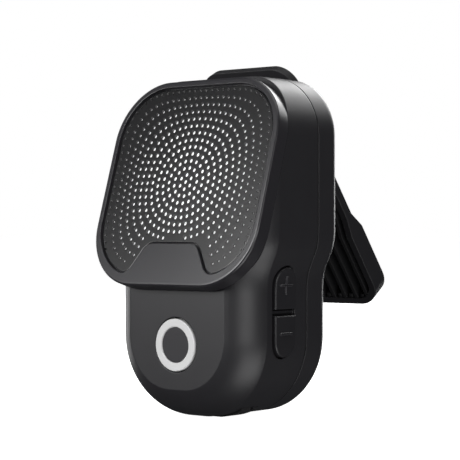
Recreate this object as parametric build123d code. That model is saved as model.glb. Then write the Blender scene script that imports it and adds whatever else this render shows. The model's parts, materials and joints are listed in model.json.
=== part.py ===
from build123d import *
import math
import os

# Clip-on wearable loudspeaker. Millimetres, +Z up, -Y is the front, +X the side with the volume keys.
# The origin is the middle of the flat foot under the body.

# ---- body ----
foot_proud = 0.2            # the port cover stands this far below the shell
body_height = 71.7          # shell, bottom to top
chest_half = 22.3           # half width behind the loudspeaker
chin_half = 19.1            # half width below the waist
waist_low = 26.7            # the side starts to flare here
waist_high = 39.7           # and is at full width here
bottom_corner = 17.0
top_corner = 12.5
chin_front = -12.0          # flat face round the power button
seam_y = 7.8                # joint between the two shells
back_y = 15.5
wall = 1.6
near = 0.01                 # two places closer than this count as one
seam_gap = 0.3
seal_out = 0.5              # the seal lies between these depths of the wall
seal_in = 1.3
chin_corner = 9.0           # round between the chin's face and the sides
chin_face_cut = 0.5         # the face is cut flat this far into the round
chin_side_cut = 0.15        # and so are the sides, which leaves two soft edges
back_round = 3.0

# ---- head: loudspeaker face, tilted up ----
head_tilt = 17.0
head_y = -9.55              # centre of the front face
head_z = 49.75
head_half_w = 22.9
head_half_h = 22.8
head_corner = 13.2
bezel_depth = 3.4
bezel_rim = 1.35
bezel_chin = 2.2            # rim below the grille
tab_half_top = 6.9
tab_half_foot = 11.2
tab_height = 7.0
tab_round = 3.2
tab_foot_round = 3.0
grille_gap = 0.4
grille_set_back = 0.45
grille_thick = 0.35
cloth_thick = 0.4
cloth_inset = 0.5           # from the grille's edge
ledge = 1.2
neck_inset = 0.7
neck_depth = 7.0
neck_taper = 28.0

# ---- grille holes ----
hole_big = 0.47             # radius in the middle
hole_small = 0.2            # radius at the border
hole_fade = 3               # the holes keep their size until near the border
hole_pitch = 1.57           # between rings of holes, and along each ring
hole_margin = 1.2
border_power = 4.5          # squareness of the outermost ring
ring_steps = 1440           # fine steps walked along a ring to space its holes

# ---- loudspeaker driver ----
driver_r = 19.0
driver_lip = 2.2            # of the front shell, under the driver's edge
driver_flange = 0.8
gasket_thick = 0.5
gasket_width = 1.25
frame_lip = 2.0             # flat rim of the driver's frame
frame_back = 1.5            # its back reaches this far past the magnet
frame_bore = 1.2            # and leaves this much round the coil
frame_sheet = 0.8
basket_depth = 5.0
magnet_r = 9.0
magnet_thick = 3.0
coil_r = 5.0
coil_thick = 0.4
coil_reach = 1.6            # how far the coil dips into the magnet's gap
magnet_gap = 0.8
cone_thick = 0.35
plate_thick = 0.8
surround_roll = 1.3         # radius of the half roll
surround_inset = 4.6        # middle of the roll, in from the driver's edge
surround_sheet = 0.3
surround_lip = 2.1
cone_set = 0.1              # the cone's edge is glued this far over the roll's
cone_rise = 3.0             # depth of the cone
cap_bulge = 1.6
window_long = 8.0           # four openings in the back of the driver's frame
window_wide = 4.2
window_deep = 2.4
window_reach = 13.4
slack = 0.15                # clearance between pieces that don't touch inside the driver

# ---- power button ----
power_z = 15.5
ring_r = 5.5
ring_inner = 3.75
power_gap = 0.3
ring_seat = 1.4             # the ring's depth, down to its seat
seat_thick = 0.7
collar_wide = 0.9           # the collar behind the wall keeps the button in
collar_thick = 0.6
collar_gap = 0.1
stem_gap = 0.05
ring_soft = 0.2
power_travel = 0.4
ring_proud = 0.35
disc_set_back = 0.25
disc_clear = 0.05
stem_r = 1.6

# ---- volume keys ----
keys_y = 0.1
key_half_w = 3.35
keys_low = 13.1
keys_high = 31.8
keys_middle = 22.45
keys_gap = 1.3              # between the two keys
key_clear = 0.35
key_proud = 0.7
key_round = 0.35
key_travel = 0.35
web_spare = 0.1             # left behind a key at full travel
web_thick = 0.35
web_margin = 1.2
switch_gap = 0.2
bridge_half = 0.35          # bar of the shell between the keys
bridge_deep = 0.5
mark_half = 1.9
mark_rise = 0.6             # the marks sit this far above the middle of their keys
mark_width = 0.45
mark_proud = 0.25

# ---- port ----
port_half_w = 4.6
port_half_d = 1.7
port_clear = 0.2
cover_half_w = 10.0
cover_half_d = 2.5
cover_clear = 0.2
cover_grow = 0.35           # proud of the shell
cover_depth = 1.0           # pocket in the shell
cover_floor = 0.25          # left between the cover and the pocket's floor
cover_barrel = 0.53         # round hinge edge
plug_start = 0.4            # above the bottom of the shell
plug_height = 2.0
plug_clear = 0.5
notch_r = 0.9
notch_rise = 1.2

# ---- clip ----
pivot_y = 18.0
pivot_z = 59.7
pin_r = 0.8
pin_half = 12.6
pin_clear = 0.05
knuckle_r = 2.1
ear_r = 1.9
ear_in = 6.0
ear_out = 8.0
clip_open = 37.0
clip_half_w = 13.0
arm_length = 45.2
arm_step = 21.5             # the arm gets thicker below this
step_length = 4.5
tip_slope = 0.9             # the tip is cut back on its outer side
arm_in = 0.9
arm_out = 1.1
tip_in = 1.9
tip_out = 2.7
tip_corner = 6.0
tip_round = 2.2             # round on the tip's outer edge
thumb_bend = 9.5
thumb_length = 16.6
thumb_corner = 5.5
cover_r = 3.3
cover_bore = 2.5
clip_rim = 1.6
clip_skin = 0.9
rib_pitch = 3.2
rib_width = 0.9
rib_side_count = 3
rib_low = 0.1               # the ribs stop this far below the arm's rim
rib_root = 0.1              # and reach this far into the lining
lining_thick = 0.4
clip_clear = 0.4
pocket_top = 5.2            # the ribbed pocket starts this far below the pin

spring_length = 7.2
spring_r = 1.5
spring_pitch = 0.8
spring_wire = 0.25

bracket_half_w = 9.0
bracket_thick = 0.9
bracket_over = 0.1          # the base reaches this far above the ears
recess_clear = 0.05
bracket_head = 0.6          # height of its screws' heads
bracket_screw_x = (-4.0, 4.0)
bracket_screw_drop = 4.6
bracket_boss = 2.9

# ---- screws ----
boss_r = 2.2
boss_depth = 5.5
web_half = 0.7
screw_r = 0.85
screw_clear = 0.1
head_r = 1.6
head_depth = 1.0
head_sunk = 0.2             # the heads lie this far below the back
cross_long = 1.1            # half sizes of the cross in a head
cross_wide = 0.2
cross_deep = 0.6            # below the back
screw_low = (12.0, 11.2)
screw_high = (18.0, 49.7)

# ---- inside ----
board_y = 1.9
board_thick = 1.0
board_bottom = 3.1
board_top = 33.7
board_inset = 1.0
board_clear = 0.3
battery_half_w = 15.0
battery_length = 28.0
battery_clear = 0.6
battery_thick = 4.6
battery_round = 1.2
pad_thick = 0.4
socket_length = 7.3
socket_gap = 0.6            # above the wall
socket_sheet = 0.35
socket_side = 0.2           # the socket is this much smaller than the port, all in all
socket_floor = 0.7
tongue_back = 0.8           # from the socket's mouth
tongue_root = 0.3
tongue_half_w = 3.3
tongue_half_d = 0.35
power_switch_half = 3.0
switch_high = 1.6
plunger_high = 0.6
side_switch_half = 2.2
side_switch_deep = 2.0
side_plunger = 0.45
side_plunger_r = 0.7
wire_r = 0.4
lead_bend = 1.4
lead_spread = 0.6           # half the distance between the two wires
lead_away = 2.5             # from the board
lead_rise = 13.3

shell_bottom = foot_proud
shell_top = shell_bottom + body_height
front_seam = seam_y - seam_gap / 2
bracket_screw_z = pivot_z - bracket_screw_drop
battery_high = bracket_screw_z - boss_r - battery_clear
battery_low = battery_high - battery_length
rear_seam = seam_y + seam_gap / 2
cover_in = cover_depth - cover_floor
cover_pivot_x = cover_barrel - cover_half_w
cover_middle = bottom_corner + (cover_grow - cover_in) / 2
cover_side = chin_half - bottom_corner + cover_pivot_x
cover_pivot_z = shell_bottom + bottom_corner - math.sqrt(cover_middle ** 2 - cover_side ** 2)
tilt = math.radians(head_tilt)

head_plane = Plane(
    origin=(0, head_y, head_z),
    x_dir=(1, 0, 0),
    z_dir=(0, -math.cos(tilt), math.sin(tilt)),
)


def at_y(y):
    # a drawing plane across the body: x is X, y is Z, and it faces the front
    return Plane.XZ.offset(-y)


def head_at(depth):
    # a drawing plane parallel to the loudspeaker face, this far behind it
    return head_plane.offset(-depth)


def body_outline(grow, y):
    # front outline of the body, grown or shrunk evenly
    low = chin_half + grow
    high = chest_half + grow
    bottom = shell_bottom - grow
    top = shell_top + grow
    round_low = bottom_corner + grow
    round_high = top_corner + grow
    middle = (waist_low + waist_high) / 2
    cos45 = math.cos(math.pi / 4)
    start = (0, bottom)
    a = (low - round_low, bottom)
    a_mid = (low - round_low * (1 - cos45), bottom + round_low * (1 - cos45))
    b = (low, bottom + round_low)
    c = (low, waist_low)
    d = (high, waist_high)
    e = (high, top - round_high)
    e_mid = (high - round_high * (1 - cos45), top - round_high * (1 - cos45))
    f = (high - round_high, top)
    end = (0, top)
    half = [
        Line(start, a),
        ThreePointArc(a, a_mid, b),
        Line(b, c),
        Bezier(c, (low, middle), (high, middle), d),
        Line(d, e),
        ThreePointArc(e, e_mid, f),
        Line(f, end),
    ]
    side = make_face(Curve() + half + [Line(end, start)])
    return at_y(y) * (side + mirror(side, Plane.YZ))


def prism(grow, y_from, y_to):
    return extrude(body_outline(grow, y_from), amount=-(y_to - y_from))


def rounded(half_w, low, high, corner):
    middle = (low + high) / 2
    return Pos(0, middle) * RectangleRounded(2 * half_w, high - low, corner)


def head_outline(inset):
    return rounded(
        head_half_w - inset,
        inset - head_half_h,
        head_half_h - inset,
        head_corner - inset,
    )


def tab_shape(grow):
    # the bezel's blank tab: it rises into the grille with flared feet
    foot = bezel_chin - head_half_h
    top = foot + tab_height
    points = [
        (-tab_half_foot, foot - 1),
        (-tab_half_foot, foot),
        (-tab_half_top, top),
        (tab_half_top, top),
        (tab_half_foot, foot),
        (tab_half_foot, foot - 1),
    ]
    plain = make_face(Polyline(*points, close=True))
    corners = plain.vertices().group_by(Axis.Y)[-1]
    soft = fillet(corners, tab_round)
    return offset(soft, grow) if grow else soft


def grille_opening(inset):
    # opening in the bezel, or the grille itself when inset by the gap
    outline = rounded(
        head_half_w - bezel_rim - inset,
        bezel_chin - head_half_h + inset,
        head_half_h - bezel_rim - inset,
        head_corner - bezel_rim - inset,
    )
    shape = outline - tab_shape(inset)
    feet = shape.vertices().sort_by(Axis.Y)[:2]
    return fillet(feet, tab_foot_round - inset)


def border_reach(angle):
    # distance from the middle of the grille to its border at this angle
    half = head_half_w - bezel_rim - hole_margin
    c = abs(math.cos(angle)) / half
    s = abs(math.sin(angle)) / half
    return (c ** border_power + s ** border_power) ** (-1 / border_power)


def ring_spots(share, shift):
    # evenly spaced points on one ring: round near the middle, like the border further out
    half = head_half_w - bezel_rim - hole_margin
    corners = []
    for i in range(ring_steps + 1):
        angle = 2 * math.pi * i / ring_steps
        reach = share * (half + (border_reach(angle) - half) * share ** 2)
        corners.append((reach * math.cos(angle), reach * math.sin(angle)))
    steps = [math.dist(corners[i], corners[i + 1]) for i in range(ring_steps)]
    count = round(sum(steps) / hole_pitch)
    gap = sum(steps) / count
    spots = []
    walked = 0
    for i in range(ring_steps):
        if walked >= (len(spots) + shift) * gap and len(spots) < count:
            spots.append(corners[i])
        walked = walked + steps[i]
    return spots


def grille_holes():
    # rings of holes, large in the middle and small at the border
    rings = round((head_half_w - bezel_rim - hole_margin) / hole_pitch)
    spots = [(0, 0, hole_big)]
    for ring in range(1, rings + 1):
        share = ring / rings
        radius = hole_big + (hole_small - hole_big) * share ** hole_fade
        for x, y in ring_spots(share, (ring % 2) / 2):
            if not near_tab(x, y):
                spots.append((x, y, radius))
    return spots


def near_tab(x, y):
    foot = bezel_chin - head_half_h
    rise = (y - foot - hole_margin) / tab_height
    half = tab_half_foot + (tab_half_top - tab_half_foot) * min(max(rise, 0), 1)
    return y < foot + hole_margin or (y < foot + tab_height + hole_margin and abs(x) < half + hole_margin)


def behind_head(depth):
    # everything behind a plane parallel to the loudspeaker face
    return extrude(head_at(depth) * Rectangle(120, 120), amount=-80)


def chin_solid(grow, y_to):
    # body from the chin's front face to y_to, with a wide round cut flat on the face and the sides
    front = chin_front - chin_face_cut - grow
    block = extrude(body_outline(grow + chin_side_cut, front), amount=-(y_to - front))
    rim = block.edges().filter_by(lambda edge: abs(edge.center().Y - front) < near)
    soft = fillet(rim, chin_corner + grow)
    return soft & prism(grow, chin_front - grow, y_to)


def neck_block(inset, depth_from):
    base = head_at(depth_from) * head_outline(neck_inset + inset)
    return extrude(base, amount=-neck_depth, taper=neck_taper)


def thumb_room(extra):
    # the hinge recess in the back, which leaves room for the thumb tab at full opening
    lean = clip_open - thumb_bend
    frame = Pos(0, pivot_y, pivot_z) * Rot(lean, 0, 0)
    near = -arm_in - clip_clear - extra
    reach = 30
    width = 2 * (clip_half_w + clip_clear + extra)
    return frame * Pos(0, near + reach / 2, reach / 2 - 1) * Box(width, reach, reach)


def y_rod(x, z, r, y_from, y_to):
    return Pos(x, (y_from + y_to) / 2, z) * Rot(90, 0, 0) * Cylinder(r, y_to - y_from)


def x_rod(y, z, r, x_from, x_to):
    return Pos((x_from + x_to) / 2, y, z) * Rot(0, 90, 0) * Cylinder(r, x_to - x_from)


def span_box(x, y, z):
    # a box from its three ranges
    middle = Pos((x[0] + x[1]) / 2, (y[0] + y[1]) / 2, (z[0] + z[1]) / 2)
    return middle * Box(x[1] - x[0], y[1] - y[0], z[1] - z[0])


def head_rod(r, depth_from, depth_to):
    return extrude(head_at(depth_from) * Circle(r), amount=-(depth_to - depth_from))


def head_ring(r_out, r_in, depth_from, depth_to):
    face = Circle(r_out) - Circle(r_in)
    return extrude(head_at(depth_from) * face, amount=-(depth_to - depth_from))


def screw_spots():
    spots = []
    for x, z in (screw_low, screw_high):
        spots.append((x, z))
        spots.append((-x, z))
    return spots


def key_slot(grow):
    # stadium opening for both keys, along X
    height = keys_high - keys_low + 2 * grow
    half = key_half_w + grow
    face = SlotOverall(height, 2 * half, rotation=90)
    plane = Plane(origin=(0, keys_y, (keys_low + keys_high) / 2), x_dir=(0, 1, 0), z_dir=(1, 0, 0))
    return extrude(plane * face, amount=40)


def port_room(clear):
    return span_box(
        (-port_half_w - clear, port_half_w + clear),
        (-port_half_d - clear, port_half_d + clear),
        (-5, 8),
    )


def cover_block(clear):
    return span_box(
        (-cover_half_w - clear, cover_half_w + clear),
        (-cover_half_d - clear, cover_half_d + clear),
        (0, 12),
    )


# ---------------------------------------------------------------- shells

def make_front_shell():
    outer = chin_solid(0, front_seam) & behind_head(bezel_depth)
    outer = outer + (neck_block(0, bezel_depth) & prism(3, chin_front - 8, front_seam))
    inner = chin_solid(-wall, front_seam + 1) & behind_head(bezel_depth + wall)
    shell = outer - inner
    shell = shell - head_rod(driver_r - driver_lip, bezel_depth - 1, bezel_depth + wall + 1)
    power_hole = y_rod(0, power_z, ring_r + power_gap, chin_front - 1, chin_front + wall + 1)
    shell = shell - power_hole
    bridge = span_box((0, 60), (-20, 20), (keys_middle - bridge_half, keys_middle + bridge_half))
    shell = shell - (key_slot(key_clear) - bridge)
    shell = shell - (key_slot(key_clear) - prism(-bridge_deep, -20, 20))
    shell = shell - port_room(port_clear)
    shell = shell - (cover_block(cover_clear) - prism(-cover_depth, -20, 20))
    for x, z in screw_spots():
        shell = shell + (front_boss(x, z, 0) & prism(-wall / 4, chin_front, front_seam))
        shell = shell - y_rod(x, z, screw_r, front_seam - boss_depth + 1, front_seam + 1)
    return shell


def front_boss(x, z, grow):
    # screw boss with a web out to the side wall
    side = math.copysign(chest_half, x)
    back = front_seam - boss_depth - grow
    half = web_half + grow
    web = span_box((min(x, side), max(x, side)), (back, front_seam), (z - half, z + half))
    return y_rod(x, z, boss_r + grow, back, front_seam) + web


def make_rear_shell():
    outer = prism(0, rear_seam, back_y)
    rim = outer.edges().filter_by(lambda edge: abs(edge.center().Y - back_y) < near)
    outer = fillet(rim, back_round)
    outer = outer - thumb_room(0)
    inner = prism(-wall, rear_seam - 1, back_y - wall) - thumb_room(wall)
    shell = outer - inner
    for x, z in screw_spots():
        boss = y_rod(x, z, boss_r, rear_seam, back_y - wall / 2)
        shell = shell + boss
        shell = shell - y_rod(x, z, screw_r + screw_clear, rear_seam - 1, back_y + 1)
        shell = shell - y_rod(x, z, head_r + screw_clear, back_y - head_depth, back_y + 1)
    for x in bracket_screw_x:
        shell = shell + y_rod(x, bracket_screw_z, boss_r, back_y - bracket_boss, back_y - wall / 2)
        shell = shell - y_rod(x, bracket_screw_z, screw_r, back_y - bracket_boss + 0.5, back_y + 1)
    return shell - bracket_plate(recess_clear)


def bracket_plate(clear):
    # the bracket's base, or the recess for it in the back when given a clearance
    return span_box(
        (-bracket_half_w - clear, bracket_half_w + clear),
        (back_y - bracket_thick, back_y + 2 if clear else back_y),
        (bracket_screw_z - boss_r - clear, pivot_z + ear_r + bracket_over + clear),
    )


def make_shell_seal():
    return prism(-seal_out, front_seam, rear_seam) - prism(-seal_in, front_seam - 1, rear_seam + 1)


# ---------------------------------------------------------------- head

def make_bezel():
    outer = extrude(head_at(0) * head_outline(0), amount=-bezel_depth)
    front = outer.edges().filter_by(lambda e: abs(head_plane.to_local_coords(e.center()).Z) < near)
    outer = fillet(front, 0.5)
    ledge_depth = grille_set_back + grille_thick + cloth_thick
    opening = extrude(head_at(-1) * grille_opening(0), amount=-(1 + ledge_depth))
    through = extrude(head_at(0) * grille_opening(ledge), amount=-(bezel_depth + 1))
    return outer - opening - through


def make_grille():
    face = grille_opening(grille_gap)
    sheet = extrude(head_at(grille_set_back) * face, amount=-grille_thick)
    holes = Sketch() + [Pos(x, y) * Circle(r) for x, y, r in grille_holes()]
    drill = extrude(head_at(grille_set_back - 0.5) * holes, amount=-(grille_thick + 1))
    return sheet - drill


def make_cloth():
    face = grille_opening(grille_gap + cloth_inset)
    return extrude(head_at(grille_set_back + grille_thick) * face, amount=-cloth_thick)


# ---------------------------------------------------------------- driver

gasket_at = bezel_depth + wall
flange_at = gasket_at + gasket_thick
basket_at = flange_at + driver_flange
magnet_at = basket_at + basket_depth


def revolve_head(points):
    # a profile of radius and depth, turned round the loudspeaker's axis
    profile = make_face(Polyline(*[(r, -d) for r, d in points], close=True))
    half_plane = Plane(origin=head_plane.origin, x_dir=(1, 0, 0), z_dir=head_plane.y_dir * -1)
    turned = half_plane * profile
    return revolve(turned, axis=Axis(head_plane.origin, head_plane.z_dir), revolution_arc=360)


def make_driver_gasket():
    return head_ring(driver_r, driver_r - gasket_width, gasket_at, flange_at)


def make_driver_frame():
    mouth = driver_r - frame_lip
    back = magnet_r + frame_back
    points = [
        (driver_r, flange_at),
        (driver_r, basket_at),
        (mouth, basket_at),
        (back, magnet_at),
        (coil_r + frame_bore, magnet_at),
        (coil_r + frame_bore, magnet_at - driver_flange),
        (back - frame_sheet, magnet_at - driver_flange),
        (mouth - 1, basket_at - cone_set),
        (mouth - 1, flange_at),
    ]
    frame = revolve_head(points)
    for i in range(4):
        window = Pos(0, window_reach, window_deep - magnet_at) * Box(window_long, window_wide, window_deep)
        frame = frame - head_plane * Rot(0, 0, 45 + 90 * i) * window
    return frame


def make_surround():
    # half-roll rubber surround
    mid = driver_r - surround_inset
    roll = surround_roll
    outer = Circle(roll) - Circle(roll - surround_sheet)
    keep = Pos(0, roll) * Rectangle(4 * roll, 2 * roll)
    arch = Pos(mid, -flange_at) * (outer & keep)
    lip_middle = mid + roll + surround_lip / 2 - surround_sheet / 2
    lip = Pos(lip_middle, surround_sheet / 2 - flange_at) * Rectangle(surround_lip, surround_sheet)
    profile = arch + lip
    half_plane = Plane(origin=head_plane.origin, x_dir=(1, 0, 0), z_dir=head_plane.y_dir * -1)
    return revolve(half_plane * profile, axis=Axis(head_plane.origin, head_plane.z_dir), revolution_arc=360)


def make_cone():
    edge = driver_r - surround_inset - surround_roll
    points = [
        (edge, flange_at - cone_set),
        (edge, flange_at - cone_set + cone_thick),
        (coil_r + coil_thick, flange_at + cone_rise + cone_thick),
        (coil_r + coil_thick, flange_at + cone_rise),
    ]
    return revolve_head(points)


def make_dust_cap():
    base = coil_r + coil_thick
    ball = (base ** 2 + cap_bulge ** 2) / (2 * cap_bulge)
    centre = flange_at + cone_rise - cap_bulge + ball
    shell = Sphere(ball) - Sphere(ball - surround_sheet)
    cap = head_plane * Pos(0, 0, -centre) * shell
    keep = head_rod(base + 1, flange_at, flange_at + cone_rise)
    return cap & keep


def make_voice_coil():
    return head_ring(coil_r + coil_thick, coil_r, flange_at + cone_rise + cone_thick, magnet_at + coil_reach)


def make_top_plate():
    return head_ring(magnet_r, coil_r + coil_thick + slack, magnet_at, magnet_at + plate_thick)


def make_magnet():
    low = magnet_at + plate_thick
    return head_ring(magnet_r - 0.5, coil_r + coil_thick + magnet_gap, low, low + magnet_thick)


def make_yoke():
    low = magnet_at + plate_thick + magnet_thick
    return head_rod(magnet_r, low, low + plate_thick) + head_rod(coil_r - slack, magnet_at, low + 0.1)


# ---------------------------------------------------------------- electronics

board_front = board_y
board_back = board_y + board_thick
battery_back = back_y - wall - pad_thick


def make_main_board():
    board = prism(-wall - board_inset, board_front, board_back)
    board = board & span_box((-40, 40), (-40, 40), (board_bottom, board_top))
    for x, z in screw_spots():
        board = board - front_boss(x, z, board_clear)
    return board


def make_usb_socket():
    low = shell_bottom + wall + socket_gap
    shape = SlotOverall(2 * port_half_w - socket_side, 2 * port_half_d - socket_side)
    can = extrude(Plane.XY.offset(low) * shape, amount=socket_length)
    bore_length = socket_length - socket_floor
    bore = extrude(Plane.XY.offset(low) * offset(shape, -socket_sheet), amount=bore_length)
    across = (-tongue_half_w, tongue_half_w)
    along = (low + tongue_back, low + bore_length + tongue_root)
    tongue = span_box(across, (-tongue_half_d, tongue_half_d), along)
    return Pos(0, board_front - port_half_d + socket_side / 2, 0) * (can - bore + tongue)


def make_battery():
    cell = span_box(
        (-battery_half_w, battery_half_w),
        (battery_back - battery_thick, battery_back),
        (battery_low, battery_high),
    )
    return fillet(cell.edges().filter_by(Axis.X), battery_round)


def make_battery_pad():
    return span_box(
        (1 - battery_half_w, battery_half_w - 1),
        (battery_back, battery_back + pad_thick),
        (battery_low + 2, battery_high - 2),
    )


def make_power_switch():
    half = power_switch_half
    face = board_front - switch_high
    body = span_box((-half, half), (face, board_front), (power_z - half, power_z + half))
    return body + y_rod(0, power_z, half / 2, face - plunger_high, face)


def make_side_switches():
    pair = []
    for z in key_centres():
        x_face = chin_half - wall - web_thick - switch_gap - side_plunger
        zone = (z - side_switch_half, z + side_switch_half)
        front = board_front - side_switch_deep
        body = span_box((x_face - side_switch_deep, x_face), (front, board_front), zone)
        plunger_y = board_front - side_switch_deep / 2
        pair.append(body + x_rod(plunger_y, z, side_plunger_r, x_face, x_face + side_plunger))
    return Compound(children=pair)


def key_centres():
    upper = (keys_middle + keys_gap / 2 + keys_high) / 2
    lower = (keys_middle - keys_gap / 2 + keys_low) / 2
    return (upper, lower)


# ---------------------------------------------------------------- buttons

def make_power_button():
    face = chin_front + disc_set_back - ring_proud
    body_front = chin_front + ring_seat
    disc = y_rod(0, power_z, ring_inner - disc_clear, face, body_front + seat_thick / 2)
    seat = y_rod(0, power_z, ring_r, body_front, body_front + seat_thick)
    collar_at = chin_front + wall + collar_gap
    collar = y_rod(0, power_z, ring_r + collar_wide, collar_at, collar_at + collar_thick)
    stem_end = board_front - switch_high - plunger_high - power_travel - stem_gap
    stem = y_rod(0, power_z, stem_r, body_front, stem_end)
    return disc + seat + collar + stem


def make_power_ring():
    ring = y_rod(0, power_z, ring_r, chin_front - ring_proud, chin_front + ring_seat)
    ring = ring - y_rod(0, power_z, ring_inner, chin_front - 5, chin_front + 5)
    front = ring.edges().filter_by(lambda e: abs(e.center().Y - (chin_front - ring_proud)) < near)
    return fillet(front, ring_soft)


def key_blank(low, high):
    zone = span_box((0, 40), (-20, 20), (low, high))
    return key_slot(0) & zone & (prism(key_proud, -20, 20) - prism(key_travel + web_spare - wall, -21, 21))


def key_mark(z, upright):
    # raised marks: a plus on the upper key and a minus on the lower key
    half = mark_width / 2
    bars = span_box((0, 40), (keys_y - mark_half, keys_y + mark_half), (z - half, z + half))
    if upright:
        bars = bars + span_box(
            (0, 40),
            (keys_y - half, keys_y + half),
            (z - mark_half, z + mark_half),
        )
    skin = prism(key_proud + mark_proud, -20, 20) - prism(key_proud - 0.2, -21, 21)
    return bars & skin & span_box((0, 40), (-20, 20), (0, 60))


def make_key(low, high, upright):
    z = (low + high) / 2 + mark_rise
    blank = key_blank(low, high)
    outer = blank.edges().filter_by(lambda e: e.center().X > chin_half + 0.2)
    blank = fillet(outer, key_round)
    return blank + key_mark(z, upright)


def make_key_web():
    # rubber web behind the keys, lying on the inside of the wall
    skin = prism(-wall, -20, 20) - prism(-wall - web_thick, -21, 21)
    reach = key_half_w + web_margin
    high = keys_high + web_margin
    zone = span_box((0, 40), (keys_y - reach, keys_y + reach), (keys_low - web_margin, high))
    return skin & zone


# ---------------------------------------------------------------- port cover

def make_port_cover():
    # follows the curve of the bottom, with a flat for the foot, a round hinge edge on the left
    # and a thumbnail notch at its free end
    skin = prism(cover_grow, -cover_half_d, cover_half_d) - prism(-cover_in, -20, 20)
    flap = cover_block(0) & skin & span_box((cover_pivot_x, 40), (-20, 20), (0, 40))
    barrel = y_rod(cover_pivot_x, cover_pivot_z, cover_barrel, -cover_half_d, cover_half_d)
    plug = span_box(
        (-port_half_w + plug_clear, port_half_w - plug_clear),
        (-port_half_d + plug_clear, port_half_d - plug_clear),
        (shell_bottom + plug_start, shell_bottom + plug_height),
    )
    notch = y_rod(cover_half_w, shell_bottom + notch_rise, notch_r, -cover_half_d / 2, cover_half_d / 2)
    return flap + barrel + plug - notch


# ---------------------------------------------------------------- clip

def open_pose(shape):
    # drawn closed, with the arm hanging straight down, and swung open about the pin
    return Pos(0, pivot_y, pivot_z) * Rot(clip_open, 0, 0) * shape


def arm_profile():
    # side view of the arm: away from the body, and up along the arm
    return [
        (-arm_in, 0),
        (arm_out, 0),
        (arm_out, -arm_step),
        (tip_out, -arm_step - step_length),
        (tip_out, tip_slope - arm_length),
        (-tip_in, -arm_length),
        (-tip_in, -arm_step - step_length),
        (-arm_in, -arm_step),
    ]


def side_plane(half_w):
    return Plane(origin=(-half_w, 0, 0), x_dir=(0, 1, 0), z_dir=(1, 0, 0))


def side_prism(points, half_w):
    face = make_face(Polyline(*points, close=True))
    return extrude(side_plane(half_w) * face, amount=2 * half_w)


def arm_plan(half_w, length, corner, y_from, y_to):
    # front view of the arm with rounded tip corners
    face = RectangleRounded(2 * half_w, 2 * length, corner)
    face = face & (Pos(0, -length) * Rectangle(4 * half_w, 2 * length))
    return extrude(at_y(y_from) * face, amount=-(y_to - y_from))


def thumb_solid():
    length = thumb_length
    face = RectangleRounded(2 * clip_half_w, 2 * length, thumb_corner)
    face = face & (Pos(0, length) * Rectangle(4 * clip_half_w, 2 * length))
    plate = extrude(at_y(-arm_in) * face, amount=-(arm_in + arm_out))
    return Rot(-thumb_bend, 0, 0) * plate


def make_clip_lever():
    side = make_face(Polyline(*arm_profile(), close=True))
    outer_edge = side.vertices().sort_by(Axis.Y)[1]
    side = fillet(outer_edge, tip_round)
    arm = extrude(side_plane(clip_half_w) * side, amount=2 * clip_half_w)
    arm = arm & arm_plan(clip_half_w, arm_length, tip_corner, -9, 9)
    pocket_plan = arm_plan(clip_half_w - clip_rim, arm_length - clip_rim, tip_corner - clip_rim, -9, 9)
    pocket_plan = pocket_plan & span_box((-40, 40), (-40, 40), (-60, -pocket_top))
    floor = [(-9, 0), (arm_out - clip_skin, 0), (arm_out - clip_skin, -arm_step)]
    floor = floor + [(tip_out - clip_skin, -arm_step - step_length), (tip_out - clip_skin, -60), (-9, -60)]
    pocket = side_prism(floor, clip_half_w) & pocket_plan
    arm = arm - pocket
    barrel = x_rod(0, 0, cover_r, -clip_half_w, clip_half_w) & span_box((-40, 40), (0, 20), (-20, 20))
    barrel = barrel + x_rod(0, 0, knuckle_r, -clip_half_w, clip_half_w)
    lever = arm + thumb_solid() + barrel
    room = ear_out + 0.5
    lever = lever - x_rod(0, 0, cover_bore, -room, room)
    lever = lever - span_box((-room, room), (-20, 0), (-pocket_top, pocket_top))
    lever = lever - x_rod(0, 0, pin_r + pin_clear, -pin_half - 0.1, pin_half + 0.1)
    return open_pose(lever)


def make_clip_pad():
    # ribbed rubber lining in the arm's pocket
    margin = clip_rim
    plan = arm_plan(clip_half_w - margin, arm_length - margin, tip_corner - margin, -9, 9)
    plan = plan & span_box((-40, 40), (-40, 40), (-60, -pocket_top))
    base_y = arm_out - clip_skin
    tip_y = tip_out - clip_skin
    knee = -arm_step - step_length
    base_in = base_y - lining_thick
    tip_in_y = tip_y - lining_thick
    base = [(base_in, 0), (base_y, 0), (base_y, -arm_step), (tip_y, knee)]
    base = base + [(tip_y, -60), (tip_in_y, -60), (tip_in_y, knee), (base_in, -arm_step)]
    pad = side_prism(base, clip_half_w) & plan
    top = rib_low - arm_in
    tip_top = rib_low - tip_in
    root = base_in + rib_root
    tip_root = tip_in_y + rib_root
    rib = [(top, 0), (root, 0), (root, -arm_step), (tip_root, knee)]
    rib = rib + [(tip_root, -60), (tip_top, -60), (tip_top, knee), (top, -arm_step)]
    for i in range(-rib_side_count, rib_side_count + 1):
        strip = Pos(i * rib_pitch, 0, 0) * side_prism(rib, rib_width / 2)
        pad = pad + (strip & plan)
    return open_pose(pad)


def make_hinge_bracket():
    plate = bracket_plate(0)
    for side in (-1, 1):
        low = min(side * ear_in, side * ear_out)
        high = max(side * ear_in, side * ear_out)
        neck = span_box((low, high), (back_y - 0.5, pivot_y), (pivot_z - ear_r, pivot_z + ear_r))
        plate = plate + neck + x_rod(pivot_y, pivot_z, ear_r, low, high)
    plate = plate - x_rod(pivot_y, pivot_z, pin_r, -20, 20)
    for x in bracket_screw_x:
        plate = plate - y_rod(x, bracket_screw_z, screw_r + screw_clear, back_y - 3, back_y + 1)
    return plate


def make_hinge_pin():
    return x_rod(pivot_y, pivot_z, pin_r, -pin_half, pin_half)


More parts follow.
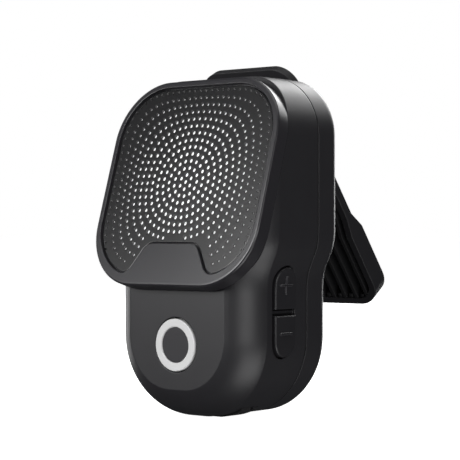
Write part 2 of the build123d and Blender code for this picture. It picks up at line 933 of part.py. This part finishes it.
def make_torsion_spring():
    path = Helix(pitch=spring_pitch, height=spring_length, radius=spring_r)
    start = Plane(origin=path @ 0, z_dir=path % 0)
    coil = sweep(start * Circle(spring_wire), path=path, is_frenet=True)
    coil = Rot(0, 90, 0) * Pos(0, 0, -spring_length / 2) * coil
    return Pos(0, pivot_y, pivot_z) * coil


def make_bracket_screws():
    pair = []
    for x in bracket_screw_x:
        shank = y_rod(x, bracket_screw_z, screw_r, back_y - bracket_boss + bracket_head, back_y)
        head = y_rod(x, bracket_screw_z, head_r, back_y, back_y + bracket_head)
        pair.append(shank + head)
    return Compound(children=pair)


def make_housing_screws():
    group = []
    for x, z in screw_spots():
        shank = y_rod(x, z, screw_r, front_seam - boss_depth + 1.2, back_y - head_depth)
        head = y_rod(x, z, head_r, back_y - head_depth, back_y - head_sunk)
        deep = (back_y - cross_deep, back_y + 1)
        slot = span_box((x - cross_long, x + cross_long), deep, (z - cross_wide, z + cross_wide))
        cross = span_box((x - cross_wide, x + cross_wide), deep, (z - cross_long, z + cross_long))
        group.append(shank + head - slot - cross)
    return Compound(children=group)


def wire_pair(points, radius, spread):
    wires = []
    for side in (-1, 1):
        shifted = [(x + side * spread, y, z) for x, y, z in points]
        path = FilletPolyline(*shifted, radius=radius)
        start = Plane(origin=path @ 0, z_dir=path % 0)
        wires.append(sweep(start * Circle(wire_r), path=path))
    return Compound(children=wires)


def make_battery_lead():
    y_cell = battery_back - battery_thick / 2
    points = [(-8, y_cell, battery_low), (-8, y_cell, battery_low - 4), (-8, board_back, battery_low - 4)]
    return wire_pair(points, lead_bend, lead_spread)


def make_speaker_lead():
    away = board_back + lead_away
    low = board_top - 3
    points = [(10, away, low + lead_rise), (10, away, low), (10, board_back, low)]
    return wire_pair(points, lead_bend, lead_spread)


def write(name, shape):
    shape.label = name
    export_step(shape, "parts/" + name + ".step")


def main():
    os.makedirs("parts", exist_ok=True)
    upper = (keys_middle + keys_gap / 2, keys_high)
    lower = (keys_low, keys_middle - keys_gap / 2)
    nodes = {
        "front_shell": make_front_shell,
        "rear_shell": make_rear_shell,
        "shell_seal": make_shell_seal,
        "head_bezel": make_bezel,
        "grille": make_grille,
        "acoustic_cloth": make_cloth,
        "driver_gasket": make_driver_gasket,
        "driver_frame": make_driver_frame,
        "surround": make_surround,
        "cone": make_cone,
        "dust_cap": make_dust_cap,
        "voice_coil": make_voice_coil,
        "top_plate": make_top_plate,
        "magnet": make_magnet,
        "yoke": make_yoke,
        "main_board": make_main_board,
        "usb_socket": make_usb_socket,
        "battery": make_battery,
        "battery_pad": make_battery_pad,
        "power_switch": make_power_switch,
        "side_switches": make_side_switches,
        "power_button": make_power_button,
        "power_ring": make_power_ring,
        "volume_up_key": lambda: make_key(*upper, True),
        "volume_down_key": lambda: make_key(*lower, False),
        "key_web": make_key_web,
        "port_cover": make_port_cover,
        "clip_lever": make_clip_lever,
        "clip_pad": make_clip_pad,
        "hinge_bracket": make_hinge_bracket,
        "hinge_pin": make_hinge_pin,
        "torsion_spring": make_torsion_spring,
        "bracket_screws": make_bracket_screws,
        "housing_screws": make_housing_screws,
        "battery_lead": make_battery_lead,
        "speaker_lead": make_speaker_lead,
    }
    for name, make in nodes.items():
        write(name, make())


main()
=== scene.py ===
import json
import math
import bpy
import bmesh
from mathutils import Matrix, Vector


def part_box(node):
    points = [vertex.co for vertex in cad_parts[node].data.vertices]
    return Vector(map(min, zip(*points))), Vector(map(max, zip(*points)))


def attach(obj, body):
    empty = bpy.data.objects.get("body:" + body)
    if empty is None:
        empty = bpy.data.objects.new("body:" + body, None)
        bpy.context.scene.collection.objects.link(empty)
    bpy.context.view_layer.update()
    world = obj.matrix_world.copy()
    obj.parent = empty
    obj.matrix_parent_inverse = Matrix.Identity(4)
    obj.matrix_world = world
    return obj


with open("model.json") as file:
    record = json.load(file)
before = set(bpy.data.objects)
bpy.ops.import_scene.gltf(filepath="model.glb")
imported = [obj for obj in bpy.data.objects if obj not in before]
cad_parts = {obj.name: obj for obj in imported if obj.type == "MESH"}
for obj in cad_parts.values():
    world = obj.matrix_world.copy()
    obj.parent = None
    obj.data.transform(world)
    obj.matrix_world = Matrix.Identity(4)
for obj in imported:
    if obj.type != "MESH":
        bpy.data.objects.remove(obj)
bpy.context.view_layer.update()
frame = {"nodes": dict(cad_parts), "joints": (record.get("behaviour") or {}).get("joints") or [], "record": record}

nodes = frame["nodes"]
mm = 0.001

cameraSetup = {"azimuth": 40.6, "distance": 0.3706, "lens": 135.5, "eyeHeight": 0.0395, "aside": 0.0035,
               "sensor": 36, "near": 0.01, "far": 20}


def makeCamera(setup):
    turn = math.radians(setup["azimuth"])
    right = Vector((math.cos(turn), math.sin(turn), 0))
    ahead = Vector((-math.sin(turn), math.cos(turn), 0))
    eye = right * setup["aside"] - ahead * setup["distance"] + Vector((0, 0, setup["eyeHeight"]))
    data = bpy.data.cameras.new("studioCamera")
    data.lens = setup["lens"]
    data.sensor_width = setup["sensor"]
    data.clip_start = setup["near"]
    data.clip_end = setup["far"]
    camera = bpy.data.objects.new("studioCamera", data)
    camera.location = eye
    camera.rotation_euler = (math.pi / 2, 0, turn)
    bpy.context.scene.collection.objects.link(camera)
    bpy.context.scene.camera = camera


lightSetup = {
    # name: azimuth it shines from, elevation, distance, width, height, power
    "keyLeft": (-19, 16, 0.36, 0.20, 0.16, 1.0),
    "sideLeft": (-100, 10, 0.70, 0.20, 0.60, 1.2),
    "overhead": (30, 80, 0.60, 0.70, 0.45, 1.9),
    "topBack": (180, 33, 0.60, 0.40, 0.20, 0.9),
    "rimLeft": (-165, 18, 0.60, 0.25, 0.60, 2.2),
    "chinLeft": (-42, 8, 0.30, 0.10, 0.10, 0.062),
    "frontRight": (57, 8, 0.90, 0.60, 0.36, 2.8),
    "bounce": (80, -42, 0.60, 0.60, 0.40, 1.8),
}
aim = Vector((0, 0, 0.038))  # about half way up the object


def makeLights(setup):
    for name, (azimuth, elevation, distance, width, height, power) in setup.items():
        a, e = math.radians(azimuth), math.radians(elevation)
        offset = Vector((math.sin(a) * math.cos(e), -math.cos(a) * math.cos(e), math.sin(e)))
        data = bpy.data.lights.new(name, "AREA")
        data.shape = "RECTANGLE"
        data.size = width
        data.size_y = height
        data.energy = power
        lamp = bpy.data.objects.new(name, data)
        lamp.location = aim + offset * distance
        lamp.rotation_euler = (-offset).to_track_quat("-Z", "Y").to_euler()
        bpy.context.scene.collection.objects.link(lamp)


worldSetup = {"seen": 1.0, "dim": 0.03, "dimTint": (0.9, 0.95, 1, 1)}


def makeWorld(setup):
    # the room looks white and gives the object only a dim even light
    world = bpy.data.worlds.new("studioWorld")
    bpy.context.scene.world = world
    world.use_nodes = True
    tree = world.node_tree
    tree.nodes.clear()
    out = tree.nodes.new("ShaderNodeOutputWorld")
    seen = tree.nodes.new("ShaderNodeBackground")
    seen.inputs["Color"].default_value = (1, 1, 1, 1)
    seen.inputs["Strength"].default_value = setup["seen"]
    dim = tree.nodes.new("ShaderNodeBackground")
    dim.inputs["Color"].default_value = setup["dimTint"]
    dim.inputs["Strength"].default_value = setup["dim"]
    path = tree.nodes.new("ShaderNodeLightPath")
    mix = tree.nodes.new("ShaderNodeMixShader")
    tree.links.new(path.outputs["Is Camera Ray"], mix.inputs[0])
    tree.links.new(dim.outputs[0], mix.inputs[1])
    tree.links.new(seen.outputs[0], mix.inputs[2])
    tree.links.new(mix.outputs[0], out.inputs[0])


floorSetup = {"size": 6.0, "drop": 0.05 * mm, "glow": 0.98, "matte": (0.85, 0.85, 0.85, 1)}


def makeFloor(setup):
    work = bmesh.new()
    bmesh.ops.create_grid(work, x_segments=1, y_segments=1, size=setup["size"])
    bmesh.ops.translate(work, verts=work.verts, vec=(0, 0, -setup["drop"]))
    mesh = bpy.data.meshes.new("studioFloor")
    work.to_mesh(mesh)
    work.free()
    floor = bpy.data.objects.new("studioFloor", mesh)
    bpy.context.scene.collection.objects.link(floor)
    floor.data.materials.append(floorPaint(setup))
    floor.visible_diffuse = False
    floor.visible_glossy = False
    floor.visible_shadow = False


def floorPaint(setup):
    material = bpy.data.materials.new("studioFloorPaint")
    material.use_nodes = True
    tree = material.node_tree
    tree.nodes.clear()
    out = tree.nodes.new("ShaderNodeOutputMaterial")
    glow = tree.nodes.new("ShaderNodeEmission")
    glow.inputs["Strength"].default_value = setup["glow"]
    matte = tree.nodes.new("ShaderNodeBsdfDiffuse")
    matte.inputs["Color"].default_value = setup["matte"]
    both = tree.nodes.new("ShaderNodeAddShader")
    tree.links.new(glow.outputs[0], both.inputs[0])
    tree.links.new(matte.outputs[0], both.inputs[1])
    tree.links.new(both.outputs[0], out.inputs[0])
    return material


bpy.context.scene.view_settings.view_transform = "Standard"
makeCamera(cameraSetup)
makeLights(lightSetup)
makeWorld(worldSetup)
makeFloor(floorSetup)
print("studio ready")


def newGroup(name, inputs, outputs):
    group = bpy.data.node_groups.new(name, "ShaderNodeTree")
    for label, kind in inputs:
        group.interface.new_socket(label, in_out="INPUT", socket_type=kind)
    for label, kind in outputs:
        group.interface.new_socket(label, in_out="OUTPUT", socket_type=kind)
    entry = group.nodes.new("NodeGroupInput")
    leave = group.nodes.new("NodeGroupOutput")
    return group, entry, leave


def mathNode(tree, operation, first, second=None, clamp=False):
    node = tree.nodes.new("ShaderNodeMath")
    node.operation = operation
    node.use_clamp = clamp
    for slotIndex, value in enumerate((first, second)):
        if value is None:
            continue
        if isinstance(value, (int, float)):
            node.inputs[slotIndex].default_value = value
        else:
            tree.links.new(value, node.inputs[slotIndex])
    return node.outputs[0]


def noiseNode(tree, vector, scale, detail=3.0, roughness=0.55):
    node = tree.nodes.new("ShaderNodeTexNoise")
    node.inputs["Scale"].default_value = scale
    node.inputs["Detail"].default_value = detail
    node.inputs["Roughness"].default_value = roughness
    tree.links.new(vector, node.inputs["Vector"])
    return node.outputs["Fac"]


grainSetup = {"fineDetail": 2.0, "mottleScale": 70.0, "mottleDetail": 4.0,
              "smearScale": 260.0, "smearDetail": 5.0, "smearRoughness": 0.7}


def makeMouldedGrain(setup):
    # spark-eroded plastic skin: a fine even grain, a broad mottle and a little handling shine
    group, entry, leave = newGroup(
        "mouldedGrain",
        [
            ("Vector", "NodeSocketVector"),
            ("Grain Scale", "NodeSocketFloat"),
            ("Shine", "NodeSocketFloat"),
        ],
        [
            ("Height", "NodeSocketFloat"),
            ("Mottle", "NodeSocketFloat"),
            ("Roughness Shift", "NodeSocketFloat"),
        ],
    )
    fine = group.nodes.new("ShaderNodeTexNoise")
    fine.inputs["Detail"].default_value = setup["fineDetail"]
    group.links.new(entry.outputs["Vector"], fine.inputs["Vector"])
    group.links.new(entry.outputs["Grain Scale"], fine.inputs["Scale"])
    broad = noiseNode(group, entry.outputs["Vector"], setup["mottleScale"], setup["mottleDetail"])
    smear = noiseNode(
        group, entry.outputs["Vector"], setup["smearScale"], setup["smearDetail"], setup["smearRoughness"]
    )
    shift = mathNode(group, "MULTIPLY", mathNode(group, "SUBTRACT", smear, 0.5), entry.outputs["Shine"])
    group.links.new(fine.outputs["Fac"], leave.inputs["Height"])
    group.links.new(broad, leave.inputs["Mottle"])
    group.links.new(shift, leave.inputs["Roughness Shift"])
    return group


edgeSetup = {"samples": 8, "sharpness": 5.0, "patchScale": 420.0, "patchDetail": 4.0, "patchRoughness": 0.65}


def makeEdgeWearAndHighlight(setup):
    # edges: a mask that is white along them, from rubbing and, where the lift is strong as on the keys, as a
    # painted edge highlight; and a normal that rounds them off
    group, entry, leave = newGroup(
        "edgeWearAndHighlight",
        [("Vector", "NodeSocketVector"), ("Width", "NodeSocketFloat"), ("Amount", "NodeSocketFloat")],
        [("Mask", "NodeSocketFloat"), ("Soft Normal", "NodeSocketVector")],
    )
    rounded = group.nodes.new("ShaderNodeBevel")
    rounded.samples = setup["samples"]
    group.links.new(entry.outputs["Width"], rounded.inputs["Radius"])
    plain = group.nodes.new("ShaderNodeNewGeometry")
    dot = group.nodes.new("ShaderNodeVectorMath")
    dot.operation = "DOT_PRODUCT"
    group.links.new(rounded.outputs["Normal"], dot.inputs[0])
    group.links.new(plain.outputs["Normal"], dot.inputs[1])
    turned = mathNode(group, "SUBTRACT", 1.0, dot.outputs["Value"])
    bend = mathNode(group, "MULTIPLY", turned, setup["sharpness"], clamp=True)
    patch = noiseNode(
        group, entry.outputs["Vector"], setup["patchScale"], setup["patchDetail"], setup["patchRoughness"]
    )
    rubbedAndHighlit = mathNode(group, "MULTIPLY", patch, entry.outputs["Amount"])
    wornAndHighlit = mathNode(group, "MULTIPLY", bend, rubbedAndHighlit, clamp=True)
    group.links.new(wornAndHighlit, leave.inputs["Mask"])
    group.links.new(rounded.outputs["Normal"], leave.inputs["Soft Normal"])
    return group


grainGroup = makeMouldedGrain(grainSetup)
wearAndHighlightGroup = makeEdgeWearAndHighlight(edgeSetup)


def placeGroup(tree, group, vector, values):
    node = tree.nodes.new("ShaderNodeGroup")
    node.node_tree = group
    tree.links.new(vector, node.inputs["Vector"])
    for label, value in values.items():
        node.inputs[label].default_value = value
    return node


def mixColour(tree, factor, first, second):
    node = tree.nodes.new("ShaderNodeMix")
    node.data_type = "RGBA"
    tree.links.new(factor, node.inputs["Factor"])
    # inputs 6 and 7 and output 2 are the colour sockets of this node
    for index, colour in ((6, first), (7, second)):
        if isinstance(colour, tuple):
            node.inputs[index].default_value = colour
        else:
            tree.links.new(colour, node.inputs[index])
    return node.outputs[2]


def grey(value, tint=(1.0, 1.0, 1.0)):
    return (value * tint[0], value * tint[1], value * tint[2], 1)


def makeMoulded(name, setup):
    # moulded plastic or rubber: grain, mottle, edges lifted in colour by rubbing, on the keys strongly as a
    # painted edge highlight
    material = bpy.data.materials.new(name)
    material.use_nodes = True
    tree = material.node_tree
    shader = tree.nodes["Principled BSDF"]
    place = tree.nodes.new("ShaderNodeTexCoord").outputs["Object"]
    grain = placeGroup(tree, grainGroup, place, {"Grain Scale": setup["grainScale"], "Shine": setup["shine"]})
    wearAndHighlight = placeGroup(tree, wearAndHighlightGroup, place, {"Width": setup["edgeWidth"], "Amount": setup["wearAndHighlight"]})
    base = setup["colour"]
    tint = setup["tint"]
    dark, light = (grey(base * share, tint) for share in setup["mottle"])
    plain = mixColour(tree, grain.outputs["Mottle"], dark, light)
    # painted highlight: the edge mask lifts the colour, partly from rubbing and on the keys mostly as a painted
    # edge highlight
    colour = mixColour(tree, wearAndHighlight.outputs["Mask"], plain, grey(base * setup["wearAndHighlightLift"], tint))
    tree.links.new(colour, shader.inputs["Base Color"])
    rough = mathNode(tree, "ADD", grain.outputs["Roughness Shift"], setup["roughness"])
    polish = mathNode(tree, "MULTIPLY", wearAndHighlight.outputs["Mask"], setup["polish"])
    rough = mathNode(tree, "SUBTRACT", rough, polish, clamp=True)
    tree.links.new(rough, shader.inputs["Roughness"])
    bump = tree.nodes.new("ShaderNodeBump")
    bump.inputs["Strength"].default_value = setup["bump"]
    bump.inputs["Distance"].default_value = setup["bumpDepth"]
    tree.links.new(grain.outputs["Height"], bump.inputs["Height"])
    tree.links.new(wearAndHighlight.outputs["Soft Normal"], bump.inputs["Normal"])
    tree.links.new(bump.outputs["Normal"], shader.inputs["Normal"])
    shader.inputs["Specular IOR Level"].default_value = setup["gloss"]
    return material


mouldedSetup = {
    "shell_plastic": {"colour": 0.016, "roughness": 0.42, "gloss": 0.55},
    "bezel_plastic": {"colour": 0.022, "roughness": 0.28, "gloss": 0.60, "bump": 0.10, "shine": 0.02},
    "button_plastic": {"colour": 0.024, "roughness": 0.46, "gloss": 0.40},
    # keys: the strong edge lift is a painted edge highlight on top of rubbing
    "key_plastic": {"colour": 0.015, "roughness": 0.40, "gloss": 0.50, "wearAndHighlight": 1.2, "wearAndHighlightLift": 5.0},
    "clip_plastic": {"colour": 0.012, "roughness": 0.48, "gloss": 0.40},
    "clip_lining": {"colour": 0.006, "roughness": 0.70, "gloss": 0.25},
    "black_rubber": {"colour": 0.010, "roughness": 0.75, "gloss": 0.30},
    "frame_plastic": {"colour": 0.015, "roughness": 0.60, "gloss": 0.40},
    "ring_white": {"colour": 0.66, "roughness": 0.38, "gloss": 0.50, "tint": (1.0, 1.0, 1.0)},
    "grille_metal": {"colour": 0.005, "roughness": 0.28, "gloss": 0.65, "bump": 0.08, "shine": 0.02},
    "paper_cone": {"colour": 0.08, "roughness": 0.85, "gloss": 0.20},
    "copper": {"colour": 0.5, "roughness": 0.35, "gloss": 0.50, "tint": (1.0, 0.5, 0.3)},
    "steel": {"colour": 0.45, "roughness": 0.30, "gloss": 0.50, "tint": (1.0, 1.0, 1.02)},
    "magnet": {"colour": 0.10, "roughness": 0.50, "gloss": 0.50},
    "board": {"colour": 0.12, "roughness": 0.40, "gloss": 0.50, "tint": (0.15, 1.0, 0.35)},
    "cell_wrap": {"colour": 0.35, "roughness": 0.35, "gloss": 0.50},
    "foam": {"colour": 0.06, "roughness": 0.95, "gloss": 0.10},
    "black_screw": {"colour": 0.02, "roughness": 0.40, "gloss": 0.50},
    "wire": {"colour": 0.4, "roughness": 0.45, "gloss": 0.50, "tint": (1.0, 0.06, 0.05)},
}
mouldedShared = {"grainScale": 3200.0, "shine": 0.10, "edgeWidth": 0.25 * mm, "wearAndHighlight": 0.5, "wearAndHighlightLift": 1.5,
                 "bump": 0.18, "bumpDepth": 0.04 * mm, "mottle": (0.88, 1.12), "polish": 0.12,
                 "tint": (1.02, 0.98, 1.12)}


weaveSetup = {"distortion": 0.6, "detail": 1.0, "fluff": 0.3,
              "fluffScale": 1800.0, "fluffDetail": 4.0, "fluffRoughness": 0.7}


def makeWeave(setup):
    # plain weave: two bands of threads that cross, one over the other
    group, entry, leave = newGroup(
        "plainWeave",
        [("Vector", "NodeSocketVector"), ("Threads", "NodeSocketFloat")],
        [("Height", "NodeSocketFloat"), ("Thread", "NodeSocketFloat")],
    )
    bands = []
    for direction in ("X", "Z"):
        wave = group.nodes.new("ShaderNodeTexWave")
        wave.wave_type = "BANDS"
        wave.bands_direction = direction
        wave.inputs["Distortion"].default_value = setup["distortion"]
        wave.inputs["Detail"].default_value = setup["detail"]
        group.links.new(entry.outputs["Vector"], wave.inputs["Vector"])
        group.links.new(entry.outputs["Threads"], wave.inputs["Scale"])
        bands.append(wave.outputs["Fac"])
    crossed = mathNode(group, "MAXIMUM", bands[0], bands[1])
    fluff = noiseNode(
        group, entry.outputs["Vector"], setup["fluffScale"], setup["fluffDetail"], setup["fluffRoughness"]
    )
    raised = mathNode(group, "ADD", crossed, mathNode(group, "MULTIPLY", fluff, setup["fluff"]))
    group.links.new(raised, leave.inputs["Height"])
    group.links.new(crossed, leave.inputs["Thread"])
    return group


# glow: the strength of the cloth's painted glow
clothSetup = {"colour": 0.86, "shade": 0.62, "roughness": 0.85, "smoothing": -0.1, "sheen": 0.3, "glow": 0.85,
              "bump": 0.5, "bumpDepth": 0.08 * mm, "threads": 2600.0}


def makeCloth(setup):
    # pale acoustic cloth: weave in colour and height, a little sheen, and a painted glow, emission though the
    # cloth is no lamp, so that it reads white
    material = bpy.data.materials.new("white_cloth")
    material.use_nodes = True
    tree = material.node_tree
    shader = tree.nodes["Principled BSDF"]
    place = tree.nodes.new("ShaderNodeTexCoord").outputs["Object"]
    weave = placeGroup(tree, weaveGroup, place, {"Threads": setup["threads"]})
    colour = mixColour(tree, weave.outputs["Thread"], grey(setup["shade"]), grey(setup["colour"]))
    tree.links.new(colour, shader.inputs["Base Color"])
    # painted glow: the weave colour also feeds the emission, so the cloth gives off light though it is no lamp
    tree.links.new(colour, shader.inputs["Emission Color"])
    shader.inputs["Emission Strength"].default_value = setup["glow"]
    shader.inputs["Sheen Weight"].default_value = setup["sheen"]
    spread = mathNode(tree, "MULTIPLY", weave.outputs["Thread"], setup["smoothing"])
    tree.links.new(mathNode(tree, "ADD", spread, setup["roughness"]), shader.inputs["Roughness"])
    bump = tree.nodes.new("ShaderNodeBump")
    bump.inputs["Strength"].default_value = setup["bump"]
    bump.inputs["Distance"].default_value = setup["bumpDepth"]
    tree.links.new(weave.outputs["Height"], bump.inputs["Height"])
    tree.links.new(bump.outputs["Normal"], shader.inputs["Normal"])
    return material


weaveGroup = makeWeave(weaveSetup)
paints = {name: makeMoulded(name, {**mouldedShared, **setup}) for name, setup in mouldedSetup.items()}
paints["white_cloth"] = makeCloth(clothSetup)
slotOf = {entry["node"]: entry["material_slot"] for entry in frame["record"]["subparts"]}
for name, piece in nodes.items():
    piece.data.materials.clear()
    piece.data.materials.append(paints[slotOf[name]])
print("materials ready")

# short teeth between the lining's ribs, at the tip of the clip
teethSetup = {"count": 6, "pitch": 3.2 * mm, "width": 1.1 * mm, "height": 1.5 * mm, "inset": 3.4 * mm,
              "depth": 2.9 * mm, "below": 1.65 * mm, "soften": 0.25 * mm, "segments": 3,
              "open": 37.0}  # open: the arm's lean at rest, in degrees


def makeTeeth(setup):
    hinge = next(entry for entry in frame["joints"] if entry["name"] == "clip_hinge")
    pivot = Vector(hinge["pos_m"])
    swing = Matrix.Rotation(math.radians(setup["open"]), 4, "X")
    low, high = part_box("clip_lever")
    tip = Vector((0, high.y - pivot.y, low.z - pivot.z))
    # distance down the arm; the box's corner lies a little past the arm's end, and the inset allows for it
    reach = -(swing.inverted() @ tip).z - setup["inset"]
    work = bmesh.new()
    for index in range(setup["count"]):
        across = (index - (setup["count"] - 1) / 2) * setup["pitch"]
        tooth = bmesh.ops.create_cube(work, size=1.0)["verts"]
        bmesh.ops.scale(work, verts=tooth, vec=(setup["width"], setup["depth"], setup["height"]))
        bmesh.ops.translate(work, verts=tooth, vec=(across, setup["depth"] / 2 - setup["below"], -reach))
        edges = list({edge for vert in tooth for edge in vert.link_edges})
        bmesh.ops.bevel(
            work, geom=edges, offset=setup["soften"], segments=setup["segments"], profile=0.5,
            affect="EDGES", material=-1,
        )
    bmesh.ops.transform(work, matrix=Matrix.Translation(pivot) @ swing, verts=work.verts)
    bmesh.ops.recalc_face_normals(work, faces=work.faces)
    mesh = bpy.data.meshes.new("clipTeeth")
    work.to_mesh(mesh)
    work.free()
    mesh.shade_smooth()
    teeth = bpy.data.objects.new("clipTeeth", mesh)
    bpy.context.scene.collection.objects.link(teeth)
    mesh.materials.append(paints["clip_lining"])
    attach(teeth, "clip")


makeTeeth(teethSetup)
print("clip teeth ready")
